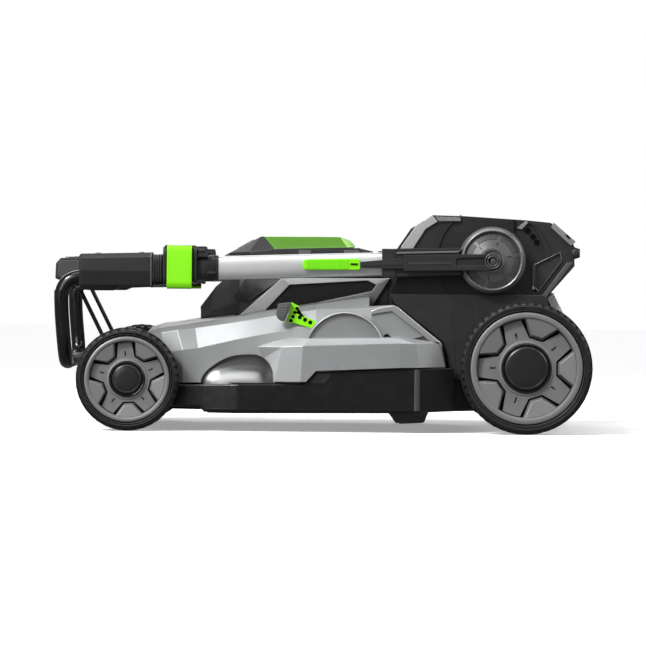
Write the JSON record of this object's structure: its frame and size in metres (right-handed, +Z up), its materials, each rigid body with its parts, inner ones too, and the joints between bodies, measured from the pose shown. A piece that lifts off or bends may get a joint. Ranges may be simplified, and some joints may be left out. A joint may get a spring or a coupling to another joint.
{
  "type": "push lawn mower",
  "caption": "Battery rotary push mower with a folding telescoping handle stored forward over a faceted deck, single-lever cutting height, rear door and safety bail.",
  "frame": {"origin": "on the ground, midway along the length and on the centre plane", "axes": "+X to the rear, +Y to the right-hand side, +Z up"},
  "size_m": [0.9366, 0.576, 0.377],
  "materials": {
    "deck_black": "satin moulded",
    "silver": "silver-grey satin",
    "body_grey": "fine texture",
    "gloss_black": "polished",
    "lime": "satin",
    "lid_green": "satin",
    "steel": "zinc plated",
    "blade_steel": "powder coated",
    "aluminium": "brushed, clear anodised",
    "tyre": "moulded tread",
    "rim_grey": "satin",
    "hub_black": "polished",
    "tube_black": "gloss paint",
    "copper": "enamelled winding",
    "board": "solder mask"
  },
  "bodies": {
    "deck": {"deck_lower": "deck_black", "deck_shell": "silver", "body_housing": "body_grey", "side_trim_left": "silver", "side_trim_right": "silver", "insert_panel_left": "gloss_black", "insert_panel_right": "gloss_black", "battery_pack": "body_grey", "terminal_block": "steel", "motor_controller": "board", "motor_stator": "copper", "lower_bearing": "steel", "notch_plate": "steel", "rear_housing": "body_grey", "door_rod": "steel"},
    "lid": {"battery_lid": "lid_green"},
    "spindle": {"motor_rotor": "steel", "blade_adapter": "steel", "blade": "blade_steel", "blade_bolt": "steel"},
    "front_crank": {"front_axle": "steel"},
    "rear_crank": {"rear_axle": "steel"},
    "link": {"height_link": "steel"},
    "lever": {"height_lever": "lime", "height_knob": "body_grey"},
    "door": {"rear_door": "silver"},
    "flap": {"side_flap": "deck_black"},
    "lower_handle": {"lower_arm_left": "body_grey", "lower_arm_right": "body_grey", "pivot_disc_left": "rim_grey", "pivot_disc_right": "rim_grey", "outer_tube_left": "aluminium", "outer_tube_right": "aluminium", "clamp_collar_left": "body_grey", "clamp_collar_right": "body_grey"},
    "upper_handle": {"inner_tube_left": "aluminium", "inner_tube_right": "aluminium", "joint_housing_left": "body_grey", "joint_housing_right": "body_grey", "switch_console": "body_grey", "grip_loop": "tube_black"},
    "button": {"start_button": "lime"},
    "safety_bail": {"bail": "tube_black"},
    "wheel_front_left": {"tyre_front_left": "tyre", "rim_front_left": "rim_grey", "hub_cap_front_left": "hub_black"},
    "wheel_front_right": {"tyre_front_right": "tyre", "rim_front_right": "rim_grey", "hub_cap_front_right": "hub_black"},
    "wheel_rear_left": {"tyre_rear_left": "tyre", "rim_rear_left": "rim_grey", "hub_cap_rear_left": "hub_black"},
    "wheel_rear_right": {"tyre_rear_right": "tyre", "rim_rear_right": "rim_grey", "hub_cap_rear_right": "hub_black"},
    "cam_left": {"cam_lever_left": "lime"},
    "release_left": {"release_lever_left": "lime"},
    "cam_right": {"cam_lever_right": "lime"},
    "release_right": {"release_lever_right": "lime"}
  },
  "joints": [
    {"name": "handle_fold", "type": "hinge", "parent": "deck", "child": "lower_handle", "pos_m": [0.295, 0, 0.2995], "axis": [0, 1, 0], "range_deg": [0, 150]},
    {"name": "handle_telescope", "type": "slide", "parent": "lower_handle", "child": "upper_handle", "axis": [-0.9994, 0, -0.0348], "range_m": [0, 0.22]},
    {"name": "bail_squeeze", "type": "hinge", "parent": "upper_handle", "child": "safety_bail", "pos_m": [-0.424, 0, 0.249], "axis": [0, 1, 0], "range_deg": [0, 27], "stiffness_Nm_per_rad": 0.4, "springref_deg": -34.38},
    {"name": "start_press", "type": "slide", "parent": "upper_handle", "child": "button", "axis": [1, 0, 0], "range_m": [0, 0.005], "stiffness_N_per_m": 300, "springref_m": -0.003},
    {"name": "cam_left_open", "type": "hinge", "parent": "lower_handle", "child": "cam_left", "pos_m": [-0.24235, -0.25, 0.3176], "axis": [-1, 0, 0], "range_deg": [0, 95]},
    {"name": "release_left_pull", "type": "slide", "parent": "lower_handle", "child": "release_left", "axis": [-0.9994, 0, -0.0348], "range_m": [0, 0.012], "stiffness_N_per_m": 400, "springref_m": -0.01},
    {"name": "cam_right_open", "type": "hinge", "parent": "lower_handle", "child": "cam_right", "pos_m": [-0.24235, 0.25, 0.3176], "axis": [1, 0, 0], "range_deg": [0, 95]},
    {"name": "release_right_pull", "type": "slide", "parent": "lower_handle", "child": "release_right", "axis": [-0.9994, 0, -0.0348], "range_m": [0, 0.012], "stiffness_N_per_m": 400, "springref_m": -0.01},
    {"name": "height_lever_swing", "type": "hinge", "parent": "deck", "child": "lever", "pos_m": [0.042, -0.248, 0.139], "axis": [0, 1, 0], "range_deg": [0, 36]},
    {"name": "front_crank_swing", "type": "hinge", "parent": "deck", "child": "front_crank", "pos_m": [-0.3695, 0, 0.0565], "axis": [0, 1, 0], "range_deg": [0, 72]},
    {"name": "rear_crank_swing", "type": "hinge", "parent": "deck", "child": "rear_crank", "pos_m": [0.316, 0, 0.0819], "axis": [0, 1, 0], "range_deg": [0, 72]},
    {"name": "link_swing", "type": "hinge", "parent": "rear_crank", "child": "link", "pos_m": [0.2893, -0.203, 0.1552], "axis": [0, 1, 0], "range_deg": [-72, 0]},
    {"name": "wheel_front_left_roll", "type": "hinge", "parent": "front_crank", "child": "wheel_front_left", "pos_m": [-0.3315, -0.265, 0.0889], "axis": [0, 1, 0], "continuous": true},
    {"name": "wheel_front_right_roll", "type": "hinge", "parent": "front_crank", "child": "wheel_front_right", "pos_m": [-0.3315, 0.265, 0.0889], "axis": [0, 1, 0], "continuous": true},
    {"name": "wheel_rear_left_roll", "type": "hinge", "parent": "rear_crank", "child": "wheel_rear_left", "pos_m": [0.354, -0.265, 0.1143], "axis": [0, 1, 0], "continuous": true},
    {"name": "wheel_rear_right_roll", "type": "hinge", "parent": "rear_crank", "child": "wheel_rear_right", "pos_m": [0.354, 0.265, 0.1143], "axis": [0, 1, 0], "continuous": true},
    {"name": "rear_door_lift", "type": "hinge", "parent": "deck", "child": "door", "pos_m": [0.386, 0, 0.249], "axis": [0, -1, 0], "range_deg": [0, 70], "stiffness_Nm_per_rad": 0.3, "springref_deg": -28.65},
    {"name": "side_flap_lift", "type": "hinge", "parent": "deck", "child": "flap", "pos_m": [0.054, 0.271, 0.099], "axis": [1, 0, 0], "range_deg": [0, 70], "stiffness_Nm_per_rad": 0.05, "springref_deg": -28.65},
    {"name": "battery_lid_lift", "type": "hinge", "parent": "deck", "child": "lid", "pos_m": [0.101, 0, 0.306], "axis": [0, 1, 0], "range_deg": [0, 80]},
    {"name": "blade_spin", "type": "hinge", "parent": "deck", "child": "spindle", "pos_m": [-0.026, 0, 0.1], "axis": [0, 0, 1], "continuous": true}
  ],
  "couplings": [
    {"joint": "front_crank_swing", "follows": "height_lever_swing", "ratio": 2},
    {"joint": "rear_crank_swing", "follows": "height_lever_swing", "ratio": 2},
    {"joint": "link_swing", "follows": "height_lever_swing", "ratio": -2}
  ]
}
